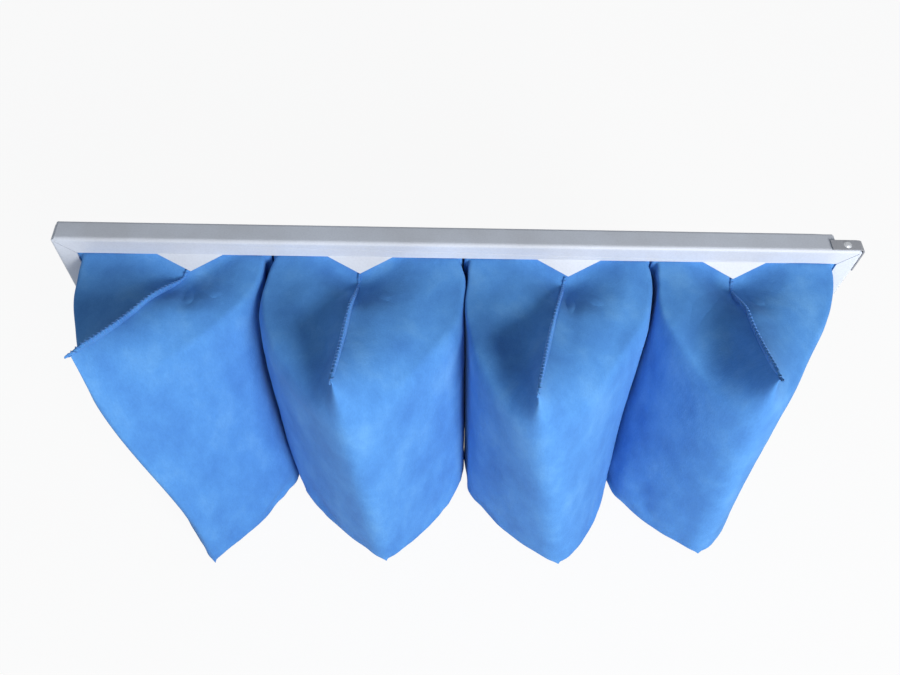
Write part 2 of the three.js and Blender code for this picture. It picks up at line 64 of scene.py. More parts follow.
# The header's outer bends, and how near a corner of the mesh has to be to count as on a plane.
BEND_RADIUS = 0.0028
BEND_STEPS = 5
BEND_PROFILE = 0.5
NEAR = 0.00005

# Distances and an angle that count as none.
SAME_PLACE = 1e-6
SAME_ANGLE = 0.01
TINY = 1e-12

# The fabric: its thickness, its largest share of the room in a fold, and how it sits in the mouth.
FABRIC = 0.0025
FABRIC_AT_SEAM = 1.3 * FABRIC
FOLD_FILL = 0.42
MOUTH_INSET = 0.0005
JOG_LENGTH = 0.002

# How the fabric is pushed in under a tongue.
TONGUE_CLEARANCE = 0.004
TONGUE_MARGIN = 0.001
RECESS_SPREAD = 0.014
RECESS_REACH = 0.050

# A pocket's sides: how they swell, and how they go over from the high form to the low one. Shares of the
# panel's width count from the upper seam, other shares from the mouth to the end seam.
SWELL_POWER = 3
ROUND_GAIN = 1.6
FULL_FROM = 0.50
FULL_TO = 0.95
LOW_FROM = 0.35
LOW_TO = 0.80
NOSE_FROM = 0.45
HEAD_SAG = 0.008
SAG_POWER = 4

# A pocket's bottom, which comes down to the floor.
FLOOR_GAP = 0.0004
FLOOR_REST = 0.0006
TOE_SHARE = 0.04
FLOOR_BY = 0.45
FLOOR_RISE = 0.45
TOE_LIFT = 8

# Where two pockets press on each other.
TOUCH_GAP = 0.0003
TOUCH_SOFTNESS = 0.012
TOUCH_WAVE = 0.0016
TOUCH_WAVELENGTH = 0.046
PRESSED = 0.0012

# The valley to the left of an upper seam.
DENT_ASIDE = 0.018
DENT_OUT = 0.58
DENT_RADIUS = 0.034
DENT_STRETCH = 1.5
DENT_EDGE = 0.04
DENT_FROM = 0.2
DENT_TO = 0.45

# One row per pocket, from the left: where the tongue over it stands, the head and the foot of its end
# seam from the middle of its mouth, how full each side is high up and low down, where it meets its
# neighbours at the floor and how much further halfway up, how round its end is, how far its end seam
# bends, and how deep the valley beside its upper seam is.
POCKETS = [
    {"shift": 0.011, "head": (-0.041, 0.107, 0.016), "foot": (-0.002, 0.139),
     "high": (0.030, 0.040), "full": (0.032, 0.070), "touch": (0.0, 0.0035), "bow": (0.0, -0.018),
     "nose": 0.003, "end_bow": 0.005, "dent": 0.0},
    {"shift": -0.006, "head": (-0.018, 0.121, 0.011), "foot": (0.012, 0.137),
     "high": (0.074, 0.074), "full": (0.090, 0.094), "touch": (0.0035, 0.015), "bow": (-0.018, 0.001),
     "nose": 0.010, "end_bow": 0.0, "dent": 0.013},
    {"shift": 0.008, "head": (-0.027, 0.127, 0.007), "foot": (0.029, 0.140),
     "high": (0.060, 0.060), "full": (0.074, 0.078), "touch": (0.015, 0.007), "bow": (0.001, 0.007),
     "nose": 0.014, "end_bow": 0.0, "dent": 0.015},
    {"shift": -0.008, "head": (-0.009, 0.116, 0.011), "foot": (0.020, 0.130),
     "high": (0.048, 0.035), "full": (0.080, 0.056), "touch": (0.007, 0.012), "bow": (0.007, 0.0),
     "nose": 0.014, "end_bow": 0.0, "dent": 0.011},
]
PITCH = 2 * HALF_OPENING / len(POCKETS)

# A panel's flat cut is a trapezium, from its width at the mouth to its width at the end seam. A pocket is
# two panels with their hems.
PANEL_WIDTH = PITCH + OPENING_TOP - OPENING_FOOT
PANEL_DEPTH = 0.158
PANEL_TIP = 0.304

# How finely a panel is divided: across half its mouth, down its height, and outwards, where the rows get
# closer towards the end seam.
WIDTH_STEPS = 12
HEIGHT_STEPS = 32
REACH_STEPS = 24
ROW_CROWDING = 1.35

# How sharp the pocket's seams and the bends of its hem stay when the mesh is divided.
SEAM_CREASE = 0.45
HEM_CREASE = 0.6

# The seam's standing edge and its stitches. The section and the stitch are in shares of the half
# thickness and of the height, and the stitch also in shares of its lean.
WELT_START = 0.005
WELT_FULL = 0.026
WELT_PAST = 0.0025
WELT_FALL = 0.004
WELT_STEP = 0.0012
WELT_LOW = 0.0018
WELT_HIGH = 0.0030
WELT_HALF = 0.0010
WELT_SECTION = [(-1.0, -0.5), (-1.0, 0.55), (-0.72, 0.88), (0.0, 1.0), (0.72, 0.88), (1.0, 0.55), (1.0, -0.5)]
THREAD_RADIUS = 0.00028
THREAD_SIDES = 6
THREAD_STEEP = 0.9
STITCH_PITCH = 0.0036
STITCH_LEAN = 0.5 * STITCH_PITCH
STITCH_FIRST = 2
STITCH_LAST = 3
STITCH_PATH = [(-0.9, 0.15, 0.0), (-1.0, 0.60, 0.15), (-0.62, 0.96, 0.32), (0.0, 1.03, 0.5),
               (0.62, 0.96, 0.68), (1.0, 0.60, 0.85), (0.9, 0.15, 1.0)]

# Shallow folds that run out from under a tongue.
FOLD_COUNT = 9
FOLD_DEPTH = 0.0010
FOLD_FROM = 0.004
FOLD_FULL = 0.030
FOLD_TO = 0.085
FOLD_LOW = 0.215
FOLD_OUT_FROM = 0.004
FOLD_OUT_TO = 0.02

# The cloth simulation, and the things that stop the cloth.
CLOTH_FRAMES = 28
CLOTH_GOAL = 0.25
CLOTH_QUALITY = 6
CLOTH_MASS = 0.1
CLOTH_STIFFNESS = 40
SHEAR_STIFFNESS = 20
CLOTH_BENDING = 8
CLOTH_DAMPING = 8
BENDING_DAMPING = 2
AIR_DAMPING = 2
CLOTH_DISTANCE = 0.001
COLLISION_QUALITY = 3
STOP_OUTER = 0.0008
STOP_INNER = 0.002
STOP_FRICTION = 5
STOP_HALF = 1

# The floor: its half width, how far it lies under the feet, and how white the camera sees it.
FLOOR_HALF = 6
FLOOR_DROP = 0.0005
FLOOR_WHITE = 0.93

# The camera, fitted to the photograph. Angles are in degrees, the focal length is in the photograph's
# pixels, and the sensor's width is in millimetres.
CAMERA_PLACE = (-0.0351, -0.4038, 0.7622)
CAMERA_PITCH = 56.41
CAMERA_YAW = 4.24
CAMERA_ROLL = -4.18
FOCAL_PIXELS = 850
PHOTO_WIDTH = 900
SENSOR_WIDTH = 36
CLIP_START = 0.01

# The lamps' names, places, sizes, powers and colours, the point they turn to, and the sky.
LAMPS = [
    ("key_lamp", (0.75, -1.35, 0.85), 0.6, 25, (1, 1, 1)),
    ("fill_lamp", (-0.7, -1.5, 1.0), 0.8, 4, (0.92, 0.96, 1)),
]
LAMP_TARGET = (0, -0.06, 0.14)
SKY_COLOR = (0.78, 0.88, 1, 1)
SKY_STRENGTH = 0.22
WHITE = (1, 1, 1, 1)


def scene_object(name, mesh):
    """A new object for a mesh, in the scene."""
    piece = bpy.data.objects.new(name, mesh)
    bpy.context.scene.collection.objects.link(piece)
    return piece


def square(half):
    """The corners of a flat square round the origin."""
    return [(x * half, y * half, 0) for x, y in ((-1, -1), (1, -1), (1, 1), (-1, 1))]


def smooth_step(value, low=0.0, high=1.0):
    """0 below low, 1 above high, and a smooth change between."""
    share = min(1.0, max(0.0, (value - low) / (high - low)))
    return share * share * (3 - 2 * share)


def soft_min(first, second, softness):
    """The smaller of two numbers, with the corner between them rounded."""
    meet = max(softness - abs(first - second), 0) / softness
    return min(first, second) - meet * meet * softness / 4


# The pockets' shape. The part's source has nearly the same formula, on a coarser grid.
def pocket_centre(index):
    """The middle of a pocket's mouth, sideways."""
    return (index - (len(POCKETS) - 1) / 2) * PITCH


def touch_limit(pocket, side, point):
    """How far a panel may go sideways at a point's height before it meets the next pocket."""
    fall = min(1.0, max(0.0, 1 - point[2] / HEADER_HEIGHT))
    touch = -pocket["touch"][0] if side < 0 else pocket["touch"][1]
    bow = -pocket["bow"][0] if side < 0 else pocket["bow"][1]
    wave = side * TOUCH_WAVE * math.sin(2 * math.pi * (OUTLET - point[1]) / TOUCH_WAVELENGTH)
    return PITCH / 2 + touch * fall + 4 * bow * fall * (1 - fall) + wave - TOUCH_GAP


def rounded_nose(aside, radius):
    """A distance sideways from the end seam, made fuller near it so that the fold there is round."""
    return math.sqrt(aside * aside + 2 * aside * radius) if aside > 0 else aside


def dent_at(pocket, width_share, point):
    """How far the left panel is dented at a point, beside the upper seam."""
    aside = point[0] - (pocket["shift"] + pocket["head"][0]) / 2 + DENT_ASIDE
    out = OUTLET - point[1] - DENT_OUT * pocket["head"][1]
    near = 1 - smooth_step(math.hypot(aside, out / DENT_STRETCH) / DENT_RADIUS)
    edge = min(1.0, width_share / DENT_EDGE)
    return pocket["dent"] * near * edge * (1 - smooth_step(width_share, DENT_FROM, DENT_TO))


def tongue_recess(aside, out):
    """How far the fabric is pushed in under a tongue."""
    edge = TONGUE_BASE / 2 + TONGUE_MARGIN
    end = TONGUE_REACH + TONGUE_CLEARANCE
    slope = min(out, end * max(0.0, 1 - aside / edge))
    clear = TONGUE_CLEARANCE * (1 - smooth_step(aside, edge, edge + RECESS_SPREAD))
    return (slope + clear) * (1 - smooth_step(out, end, RECESS_REACH))


def panel_stations(side, shift):
    """Places round one panel's edge, from the upper seam to the lower one: the share of the panel's
    width, the place on an outline as shares, and which edge it is on."""
    half = PITCH / 2
    height = OPENING_TOP - OPENING_FOOT
    places = []
    for step in range(WIDTH_STEPS + 1):
        share = step / WIDTH_STEPS
        places.append({"edge": "top", "along": share, "share": share * half / PANEL_WIDTH,
                       "seam": shift, "side": side})
    for step in range(1, HEIGHT_STEPS):
        share = step / HEIGHT_STEPS
        places.append({"edge": "side", "along": share, "share": (half + height * share) / PANEL_WIDTH,
                       "seam": 0.0, "side": side})
    for step in range(WIDTH_STEPS, -1, -1):
        share = step / WIDTH_STEPS
        places.append({"edge": "foot", "along": share, "share": 1 - share * half / PANEL_WIDTH,
                       "seam": 0.0, "side": side})
    return places


def station_place(station, outline, depth):
    """A station's place on an outline round the mouth, at a depth."""
    left, right, foot, top = outline
    corner = left if station["side"] < 0 else right
    if station["edge"] == "side":
        return corner, depth, top + (foot - top) * station["along"]
    x = station["seam"] + (corner - station["seam"]) * station["along"]
    return x, depth, top if station["edge"] == "top" else foot


def panel_point(pocket, side, station, share):
    """A point of a panel's outer face, from its station and its share of the way out."""
    half = PITCH / 2 - MOUTH_INSET
    mouth_foot = OPENING_FOOT + MOUTH_INSET
    mouth_top = OPENING_TOP - MOUTH_INSET
    head = np.array([pocket["head"][0], OUTLET - pocket["head"][1], HEADER_HEIGHT + pocket["head"][2]])
    foot = np.array([pocket["foot"][0], OUTLET - pocket["foot"][1], 0.0])
    corner_share = PITCH / 2 / PANEL_WIDTH
    floor_share = corner_share * (1 - share) + TOE_SHARE * share
    floor_start = 1 - floor_share
    floor_height = mouth_foot * (1 - share) + head[2] * floor_share * share
    width_share = station["share"]
    start = np.array(station_place(station, (-half, half, mouth_foot, mouth_top), OUTLET))
    end = head + (foot - head) * width_share
    end[0] -= pocket["end_bow"] * math.sin(2 * math.pi * width_share)
    point = start * (1 - share) + end * share
    roundness = min(1.0, ROUND_GAIN * math.sin(math.pi * width_share))
    panel = 0 if side < 0 else 1
    grown = pocket["full"][panel] - pocket["high"][panel]
    fullness = pocket["high"][panel] + grown * smooth_step(width_share, FULL_FROM, FULL_TO)
    full = fullness * (1 - share) * (1 - (1 - share) ** SWELL_POWER)
    nose = pocket["nose"] * smooth_step(share, NOSE_FROM, 1)
    high_aside = side * (point[0] - end[0]) + full * roundness
    high_x = end[0] + side * rounded_nose(high_aside, nose * roundness)
    spread = min(1.0, (1 - width_share) / floor_share)
    low_x = end[0] * share + side * rounded_nose(half * (1 - share) + full, nose) * spread
    low = smooth_step(width_share, LOW_FROM, LOW_TO)
    wanted = side * (high_x * (1 - low) + low_x * low)
    point[0] = side * soft_min(wanted, touch_limit(pocket, side, point), TOUCH_SOFTNESS)
    down = smooth_step(share, 0, FLOOR_BY) * (1 - share ** TOE_LIFT)
    if width_share > floor_start:
        point[2] *= 1 - down
    else:
        point[2] -= floor_height * down * max(0.0, 1 - (floor_start - width_share) / FLOOR_RISE)
    point[2] -= HEAD_SAG * math.sin(math.pi * share) * (1 - width_share) ** SAG_POWER
    if side < 0:
        point[2] -= dent_at(pocket, width_share, point)
    out = OUTLET - point[1]
    if station["edge"] == "top":
        point[2] -= tongue_recess(abs(point[0] - pocket["shift"]), out)
    if station["edge"] == "foot":
        point[2] += tongue_recess(abs(point[0]), out) * (1 - down)
    point[2] = max(point[2], FLOOR_GAP * down)
    return point


def hem_rows(index):
    """The hem's rows inside the header, from the mouth frame's groove to the back of the flange: each
    row's depth, and its outline's left, right, foot and top."""
    clamp_low, clamp_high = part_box("mouth_frame_" + str(index + 1))
    inset = CLAMP_SHEET + GAP
    centre = pocket_centre(index)
    groove = (clamp_low[0] + inset - centre, clamp_high[0] - inset - centre,
              clamp_low[2] + inset, clamp_high[2] - inset)
    half = PITCH / 2 - MOUTH_INSET
    mouth = (-half, half, OPENING_FOOT + MOUTH_INSET, OPENING_TOP - MOUTH_INSET)
    behind = OUTLET + SHEET + GAP
    back = clamp_high[1] - inset
    return [(back, groove), ((back + behind) / 2, groove), (behind + JOG_LENGTH, groove), (behind, mouth)]


def corner_key(side, row, place, last, last_row):
    """The name of a grid point: the two panels share the points of their seams."""
    shared = place in (0, last) or row == last_row
    return (0 if shared else side, row, place)


def pocket_grid(index):
    """One pocket: its points, each point's place on the flat cut, its row, its share of the panel's
    width and the point opposite it, the faces, the hem's edge and the two side seams."""
    pocket = POCKETS[index]
    centre = pocket_centre(index)
    hems = hem_rows(index)
    points = []
    flats = []
    rows = []
    shares = []
    faces = []
    found = {}
    last_row = len(hems) + REACH_STEPS
    for side in (-1, 1):
        places = panel_stations(side, pocket["shift"])
        last = len(places) - 1
        for row in range(last_row + 1):
            for place, station in enumerate(places):
                key = corner_key(side, row, place, last, last_row)
                if key in found:
                    continue
                found[key] = len(points)
                share = 1 - (1 - max(0.0, (row - len(hems)) / REACH_STEPS)) ** ROW_CROWDING
                if row < len(hems):
                    depth, outline = hems[row]
                    point = np.array(station_place(station, outline, depth))
                else:
                    point = panel_point(pocket, side, station, share)
                    depth = OUTLET
                point[0] += centre
                points.append(point)
                across = station["share"] - 0.5
                width = PANEL_WIDTH * (1 - share) + PANEL_TIP * share
                flats.append((centre, depth - share * PANEL_DEPTH, HEADER_HEIGHT / 2 - across * width))
                rows.append(row - len(hems))
                shares.append(station["share"])
        for row in range(last_row):
            for place in range(last):
                corners = [(row, place), (row, place + 1), (row + 1, place + 1), (row + 1, place)]
                quad = [found[corner_key(side, *corner, last, last_row)] for corner in corners]
                faces.append(quad if side < 0 else quad[::-1])
    opposite = [0] * len(points)
    for (side, row, place), number in found.items():
        opposite[number] = found[(-side, row, place)]
    rim = [found[corner_key(-1, 0, place, last, last_row)] for place in range(last + 1)]
    rim += [found[corner_key(1, 0, place, last, last_row)] for place in range(last - 1, 0, -1)]
    upper = [found[corner_key(-1, row, 0, last, last_row)] for row in range(len(hems), last_row + 1)]
    lower = [found[corner_key(-1, row, last, last, last_row)] for row in range(len(hems), last_row + 1)]
    return {"points": np.array(points), "flats": flats, "rows": rows, "shares": shares,
            "faces": faces, "opposite": opposite, "rim": rim, "upper": upper, "lower": lower}


# The cloth: all four pockets drape at once, from the start shape towards their own cut.
def temporary(name, vertices, faces):
    """An object that the simulation needs and that is removed after it."""
    mesh = bpy.data.meshes.new(name)
    mesh.from_pydata([tuple(point) for point in vertices], [], faces)
    mesh.update()
    return scene_object(name, mesh)


def collider(name, vertices, faces):
    """A thin thing that the cloth can't pass."""
    piece = temporary(name, vertices, faces)
    piece.modifiers.new("collision", "COLLISION")
    piece.collision.thickness_outer = STOP_OUTER
    piece.collision.thickness_inner = STOP_INNER
    piece.collision.cloth_friction = STOP_FRICTION
    return piece


def make_stops():
    """The floor and the upper tongues, which the cloth can't pass."""
    stops = [collider("floor_stop", square(STOP_HALF), [(0, 1, 2, 3)])]
    for index, pocket in enumerate(POCKETS):
        middle = pocket_centre(index) + pocket["shift"]
        near = TONGUE_BASE / 2
        sheet = [(middle - near, OUTLET, OPENING_TOP), (middle + near, OUTLET, OPENING_TOP),
                 (middle, OUTLET - TONGUE_REACH, OPENING_TOP - TONGUE_REACH)]
        stops.append(collider("tongue_stop_" + str(index), sheet, [(0, 1, 2)]))
    return stops


def add_cloth(cloth):
    """The cloth modifier, with the cut as the form that the fabric has at rest."""
    modifier = cloth.modifiers.new("cloth", "CLOTH")
    settings = modifier.settings
    settings.quality = CLOTH_QUALITY
    settings.mass = CLOTH_MASS
    settings.tension_stiffness = CLOTH_STIFFNESS
    settings.compression_stiffness = CLOTH_STIFFNESS
    settings.shear_stiffness = SHEAR_STIFFNESS
    settings.bending_model = "ANGULAR"
    settings.bending_stiffness = CLOTH_BENDING
    settings.tension_damping = CLOTH_DAMPING
    settings.compression_damping = CLOTH_DAMPING
    settings.shear_damping = CLOTH_DAMPING
    settings.bending_damping = BENDING_DAMPING
    settings.air_damping = AIR_DAMPING
    settings.vertex_group_mass = "held"
    settings.rest_shape_key = cloth.data.shape_keys.key_blocks["cut"]
    modifier.collision_settings.distance_min = CLOTH_DISTANCE
    modifier.collision_settings.collision_quality = COLLISION_QUALITY
    modifier.collision_settings.use_self_collision = False
    modifier.point_cache.frame_start = 1
    modifier.point_cache.frame_end = CLOTH_FRAMES


def drape(grids):
    """The pockets' points after the cloth simulation."""
    points = np.concatenate([grid["points"] for grid in grids])
    faces = []
    start = 0
    for grid in grids:
        faces += [[corner + start for corner in face] for face in grid["faces"]]
        start += len(grid["points"])
    cloth = temporary("cloth", points, faces)
    held = cloth.vertex_groups.new(name="held")
    number = 0
    for grid in grids:
        for row, share in zip(grid["rows"], grid["shares"]):
            corner = row == REACH_STEPS and share in (0.0, 1.0)
            held.add([number], 1.0 if row <= 0 or corner else CLOTH_GOAL, "REPLACE")
            number += 1
    cloth.shape_key_add(name="Basis")
    cut = cloth.shape_key_add(name="cut")
    flats = [flat for grid in grids for flat in grid["flats"]]
    for number, flat in enumerate(flats):
        cut.data[number].co = flat
    cut.value = 0.0
    add_cloth(cloth)
    stops = make_stops()
    scene = bpy.context.scene
    first = scene.frame_current
    scene.frame_start = 1
    for number in range(1, CLOTH_FRAMES + 1):
        scene.frame_set(number)
    graph = bpy.context.evaluated_depsgraph_get()
    result = np.array([vertex.co[:] for vertex in cloth.evaluated_get(graph).data.vertices])
    scene.frame_set(first)
    for piece in [cloth] + stops:
        mesh = piece.data
        bpy.data.objects.remove(piece)
        bpy.data.meshes.remove(mesh)
    split = []
    start = 0
    for grid in grids:
        split.append(result[start:start + len(grid["points"])])
        start += len(grid["points"])
    return split


def keep_clear(index, points, grid):
    """Draped points, kept above the floor, between the neighbours, and on them where they started so."""
    pocket = POCKETS[index]
    centre = pocket_centre(index)
    for number, (point, start) in enumerate(zip(points, grid["points"])):
        if grid["rows"][number] < 0:
            continue
        point[2] = max(point[2], FLOOR_REST)
        aside = point[0] - centre
        side = -1 if aside < 0 else 1
        limit = touch_limit(pocket, side, point)
        pressed = side * (start[0] - centre) > touch_limit(pocket, side, start) - PRESSED
        if pressed or abs(aside) > limit:
            point[0] = centre + side * limit
    return points


def face_normals(points, faces):
    """Smooth outward normals at the points."""
    normals = np.zeros_like(points)
    for face in faces:
        a, b, c, d = (points[corner] for corner in face)
        across = np.cross(c - a, d - b)
        for corner in face:
            normals[corner] += across
    lengths = np.linalg.norm(normals, axis=1)
    return normals / np.maximum(lengths, TINY)[:, None]


def pocket_mesh(name, grid, points):
    """A pocket with the fabric's thickness: outer faces, inner faces and the hem's edge."""
    faces = grid["faces"]
    normals = face_normals(points, faces)
    across = points[grid["opposite"]] - points
    room = np.maximum(np.einsum("ij,ij->i", across, -normals), 0.0)
    on_seam = np.linalg.norm(across, axis=1) < TINY
    depth = np.where(on_seam, FABRIC_AT_SEAM, np.minimum(FABRIC, room * FOLD_FILL))
    inner = points - normals * depth[:, None]
    for number, row in enumerate(grid["rows"]):
        if row < 0:
            inner[number, 1] = points[number, 1]
    count = len(points)
    quads = [tuple(face) for face in faces]
    quads += [tuple(corner + count for corner in reversed(face)) for face in faces]
    rim = grid["rim"]
    for here, there in zip(rim, rim[1:] + rim[:1]):
        quads.append((there, here, here + count, there + count))
    mesh = bpy.data.meshes.new(name)
    mesh.from_pydata([tuple(point) for point in np.concatenate([points, inner])], [], quads)
    mesh.update()
    return mesh


# The materials.
def new_material(name):
    """A material, its node tree and its shader."""
    material = bpy.data.materials.new(name)
    material.use_nodes = True
    tree = material.node_tree
    return material, tree, tree.nodes["Principled BSDF"]


def add_node(tree, kind, **values):
    """A node with its properties and its inputs' values set."""
    node = tree.nodes.new(kind)
    for key, value in values.items():
        if key in node.inputs.keys():
            node.inputs[key].default_value = value
        else:
            setattr(node, key, value)
    return node


def noise(tree, place, scale, detail, rough, stretch=(1, 1, 1)):
    """A noise texture over the object's own coordinates."""
    mapping = add_node(tree, "ShaderNodeMapping")
    mapping.inputs["Scale"].default_value = stretch
    tree.links.new(place.outputs["Object"], mapping.inputs["Vector"])
    texture = add_node(tree, "ShaderNodeTexNoise", Scale=scale, Detail=detail, Roughness=rough)
    tree.links.new(mapping.outputs["Vector"], texture.inputs["Vector"])
    return texture


def ramp(tree, source, stops):
    """A colour ramp over a texture's value."""
    node = tree.nodes.new("ShaderNodeValToRGB")
    elements = node.color_ramp.elements
    while len(elements) < len(stops):
        elements.new(0.5)
    for element, (place, color) in zip(elements, stops):
        element.position = place
        element.color = (*color, 1)
    tree.links.new(source, node.inputs["Fac"])
    return node


def mix_colors(tree, share, first, second, blend="MIX"):
    """Two colours mixed by a number or a texture."""
    node = add_node(tree, "ShaderNodeMix", data_type="RGBA", blend_type=blend)
    for socket, value in ((node.inputs[0], share), (node.inputs[6], first), (node.inputs[7], second)):
        if hasattr(value, "is_output"):
            tree.links.new(value, socket)
        else:
            socket.default_value = value
    return node.outputs[2]


def bumps(tree, shader, layers):
    """Bump nodes in a chain: each layer is a texture's value, a strength and a height."""
    last = None
    for value, strength, distance in layers:
        node = add_node(tree, "ShaderNodeBump", Strength=strength, Distance=distance)
        tree.links.new(value, node.inputs["Height"])
        if last:
            tree.links.new(last.outputs["Normal"], node.inputs["Normal"])
        last = node
    tree.links.new(last.outputs["Normal"], shader.inputs["Normal"])


def nonwoven_material():
    """Blue polyester nonwoven: soft clouds of fibre, fine crossing fibres and a little fuzz."""
    material, tree, shader = new_material("blue_nonwoven")
    place = add_node(tree, "ShaderNodeTexCoord")
    clouds = noise(tree, place, scale=34, detail=5, rough=0.6, stretch=(1, 1, 0.55))
    color = ramp(tree, clouds.outputs["Fac"], [(0.30, (0.076, 0.250, 0.630)), (0.52, (0.100, 0.315, 0.720)),
                                               (0.74, (0.148, 0.392, 0.780))])
    fibres = noise(tree, place, scale=900, detail=6, rough=0.7, stretch=(1, 1, 0.35))
    strands = noise(tree, place, scale=1500, detail=3, rough=0.6, stretch=(0.3, 1, 1))
    fibre_color = ramp(tree, fibres.outputs["Fac"], [(0.35, (0.74, 0.78, 0.84)), (0.65, (1.0, 1.0, 1.0))])
    base = mix_colors(tree, 0.55, color.outputs["Color"], fibre_color.outputs["Color"], "MULTIPLY")
    tree.links.new(base, shader.inputs["Base Color"])
    shader.inputs["Roughness"].default_value = 0.92
    shader.inputs["Specular IOR Level"].default_value = 0.18
    shader.inputs["Sheen Weight"].default_value = 0.12
    shader.inputs["Sheen Roughness"].default_value = 0.45
    shader.inputs["Sheen Tint"].default_value = (0.55, 0.75, 1.0, 1)
    bumps(tree, shader, [(clouds.outputs["Fac"], 0.30, 0.0030), (fibres.outputs["Fac"], 0.35, 0.0006),
                         (strands.outputs["Fac"], 0.25, 0.0004)])
    return material


def thread_material():
    """Blue polyester sewing thread with a twisted look."""
    material, tree, shader = new_material("blue_thread")
    place = add_node(tree, "ShaderNodeTexCoord")
    twist = noise(tree, place, scale=1800, detail=2, rough=0.5)
    color = ramp(tree, twist.outputs["Fac"], [(0.35, (0.060, 0.190, 0.520)), (0.65, (0.140, 0.360, 0.780))])
    tree.links.new(color.outputs["Color"], shader.inputs["Base Color"])
    shader.inputs["Roughness"].default_value = 0.6
    bumps(tree, shader, [(twist.outputs["Fac"], 0.5, 0.0003)])
    return material


def steel_material(name, low, high, rough, metal, spangle=26.0, shine=0.5):
    """Sheet steel: cloudy tone, fine grain and uneven gloss."""
    material, tree, shader = new_material(name)
    place = add_node(tree, "ShaderNodeTexCoord")
    clouds = noise(tree, place, scale=spangle, detail=4, rough=0.55)
    fine = noise(tree, place, scale=700, detail=3, rough=0.6)
    tone = ramp(tree, clouds.outputs["Fac"], [(0.33, low), (0.67, high)])
    specks = ramp(tree, fine.outputs["Fac"], [(0.30, (0.90, 0.90, 0.91)), (0.60, (1.0, 1.0, 1.0))])
    base = mix_colors(tree, 0.6, tone.outputs["Color"], specks.outputs["Color"], "MULTIPLY")
    tree.links.new(base, shader.inputs["Base Color"])
    gloss = ramp(tree, clouds.outputs["Fac"], [(0.30, (rough - 0.06,) * 3), (0.70, (rough + 0.08,) * 3)])
    tree.links.new(gloss.outputs["Color"], shader.inputs["Roughness"])
    shader.inputs["Metallic"].default_value = metal
    shader.inputs["Specular IOR Level"].default_value = shine
    bumps(tree, shader, [(clouds.outputs["Fac"], 0.10, 0.0010), (fine.outputs["Fac"], 0.25, 0.0002)])
    return material


def seen_directly(tree):
    """1 for a ray from the camera, a mirror or clear glass, and 0 for any other ray."""
    path = add_node(tree, "ShaderNodeLightPath")
    seen = path.outputs["Is Camera Ray"]
    for name in ("Is Glossy Ray", "Is Transmission Ray"):
        larger = add_node(tree, "ShaderNodeMath", operation="MAXIMUM")
        tree.links.new(seen, larger.inputs[0])
        tree.links.new(path.outputs[name], larger.inputs[1])
        seen = larger.outputs["Value"]
    return seen


def floor_material():
    """A pale floor that a camera sees as white, apart from the object's shadow."""
    material, tree, shader = new_material("pale_floor")
    place = add_node(tree, "ShaderNodeTexCoord")
    mottle = noise(tree, place, scale=3, detail=3, rough=0.5)
    color = ramp(tree, mottle.outputs["Fac"], [(0.3, (0.74, 0.74, 0.745)), (0.7, (0.78, 0.78, 0.785))])
    tree.links.new(color.outputs["Color"], shader.inputs["Base Color"])
    shader.inputs["Roughness"].default_value = 0.9
    shader.inputs["Specular IOR Level"].default_value = 0.1
    glow = add_node(tree, "ShaderNodeEmission", Color=WHITE, Strength=1.0)
    part = add_node(tree, "ShaderNodeMath", operation="MULTIPLY")
    part.inputs[1].default_value = FLOOR_WHITE
    tree.links.new(seen_directly(tree), part.inputs[0])
    blend = tree.nodes.new("ShaderNodeMixShader")
    tree.links.new(part.outputs["Value"], blend.inputs["Fac"])
    tree.links.new(shader.outputs["BSDF"], blend.inputs[1])
    tree.links.new(glow.outputs["Emission"], blend.inputs[2])
    output = tree.nodes["Material Output"]
    tree.links.new(blend.outputs["Shader"], output.inputs["Surface"])
    return material


# The pieces.
def make_floor():
    """A plain floor under the filter's feet."""
    mesh = bpy.data.meshes.new("floor")
    mesh.from_pydata(square(FLOOR_HALF), [], [(0, 1, 2, 3)])
    floor = scene_object("floor", mesh)
    floor.location.z = -FLOOR_DROP
    mesh.materials.append(floor_material())


def smooth_shade(mesh):
    """Smooth shading on all faces."""
    mesh.polygons.foreach_set("use_smooth", [True] * len(mesh.polygons))
    mesh.update()


def subdivided(mesh, name, levels):
    """The mesh after a subdivision surface."""
    helper = scene_object(name + "_helper", mesh)
    modifier = helper.modifiers.new("subdivision", "SUBSURF")
    modifier.levels = levels
    modifier.render_levels = levels
    graph = bpy.context.evaluated_depsgraph_get()
    result = bpy.data.meshes.new_from_object(helper.evaluated_get(graph))
    bpy.data.objects.remove(helper)
    bpy.data.meshes.remove(mesh)
    result.name = name
    return result


def pull_folds(mesh, index):
    """Shallow folds that run out from the tongue over a pocket, where the fabric is pulled in."""
    tip = np.array([pocket_centre(index) + POCKETS[index]["shift"], OUTLET - TONGUE_REACH, OPENING_TOP])
    turn = random.uniform(0, 2 * math.pi)
    mesh.update()
    moves = []
    for vertex in mesh.vertices:
        way = np.array(vertex.co) - tip
        away = math.hypot(way[0], way[1])
        angle = math.atan2(way[0], -way[1])
        rise = smooth_step(away, FOLD_FROM, FOLD_FULL) * (1 - smooth_step(away, FOLD_FULL, FOLD_TO))
        high = smooth_step(vertex.co.z, FOLD_LOW, OPENING_TOP)
        wave = math.sin(FOLD_COUNT * angle + turn) * max(0.0, math.cos(angle)) ** 2
        outside = smooth_step(OUTLET - vertex.co.y, FOLD_OUT_FROM, FOLD_OUT_TO)
        moves.append(vertex.co + vertex.normal * (FOLD_DEPTH * rise * high * wave * outside))
    for vertex, place in zip(mesh.vertices, moves):
        vertex.co = place
    mesh.update()


def unit(vector):
    """A vector's direction, of length 1."""
    return vector / np.linalg.norm(vector)


def direction_at(path, number):
    """The direction of a path at one of its points."""
    return unit(path[min(number + 1, len(path) - 1)] - path[max(number - 1, 0)])


